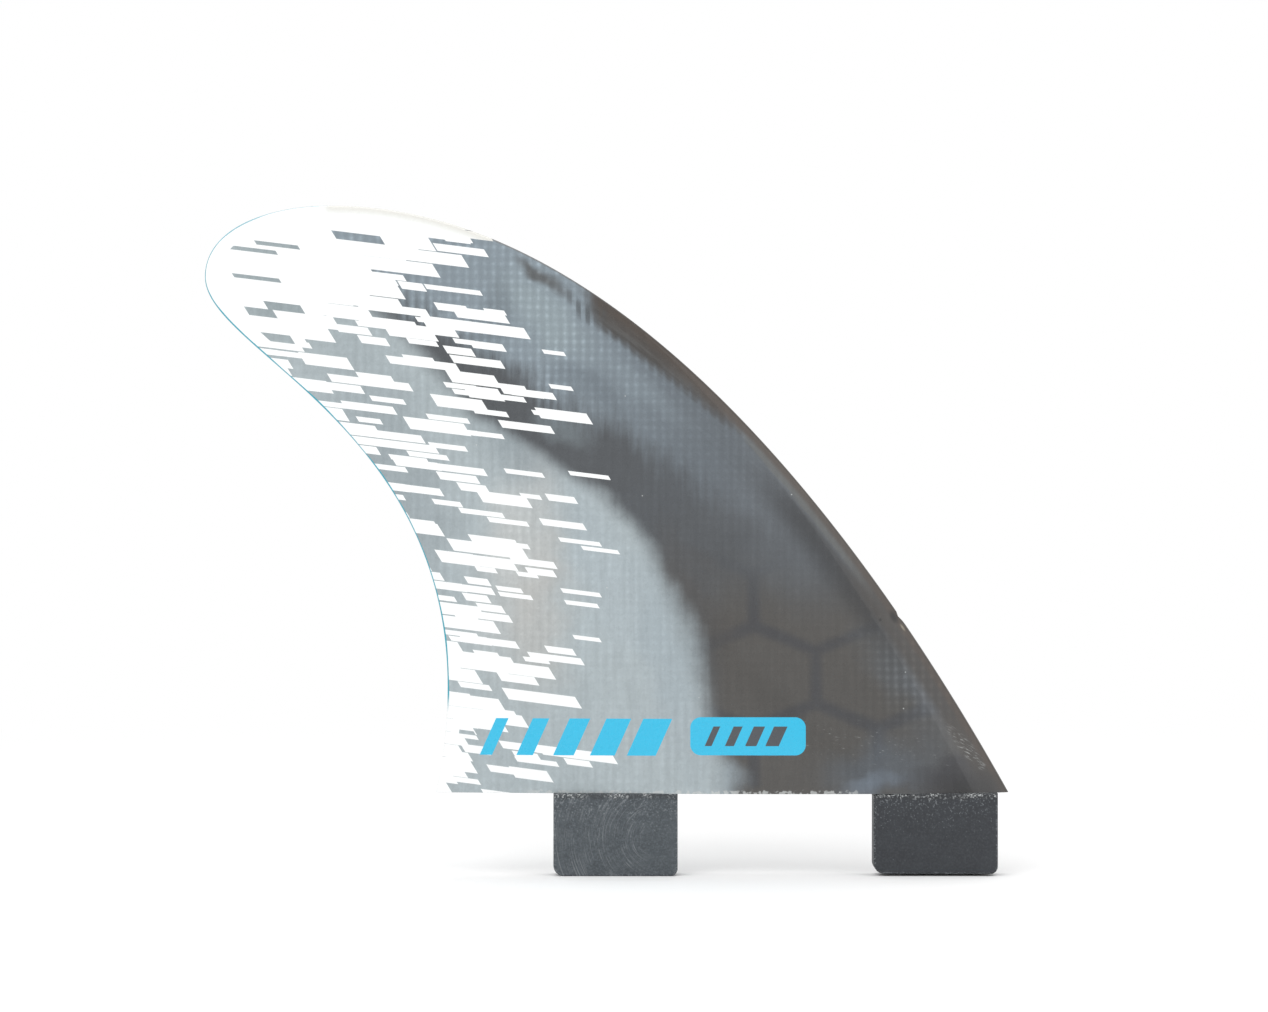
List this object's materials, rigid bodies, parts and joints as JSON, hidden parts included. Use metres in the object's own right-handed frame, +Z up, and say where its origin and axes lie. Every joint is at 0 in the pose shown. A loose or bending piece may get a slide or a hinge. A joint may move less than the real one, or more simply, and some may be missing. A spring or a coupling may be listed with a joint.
{
  "type": "surfboard fin",
  "caption": "Swept surfboard side fin of resin and glass cloth with a hexagonal core mat sealed inside, on base tabs that drop into the board's plugs.",
  "frame": {"origin": "on the base line of the blade, midway between the two tabs and at the middle of their thickness", "axes": "+X toward the leading edge, +Y toward the flatter inside face, +Z up the blade; the tabs point along -Z"},
  "size_m": [0.1443, 0.0066, 0.12],
  "materials": {
    "fin_moulding": "gloss",
    "hex_core": "matte"
  },
  "bodies": {
    "root": {"fin_moulding": "fin_moulding", "hex_core": "hex_core"}
  },
  "joints": []
}
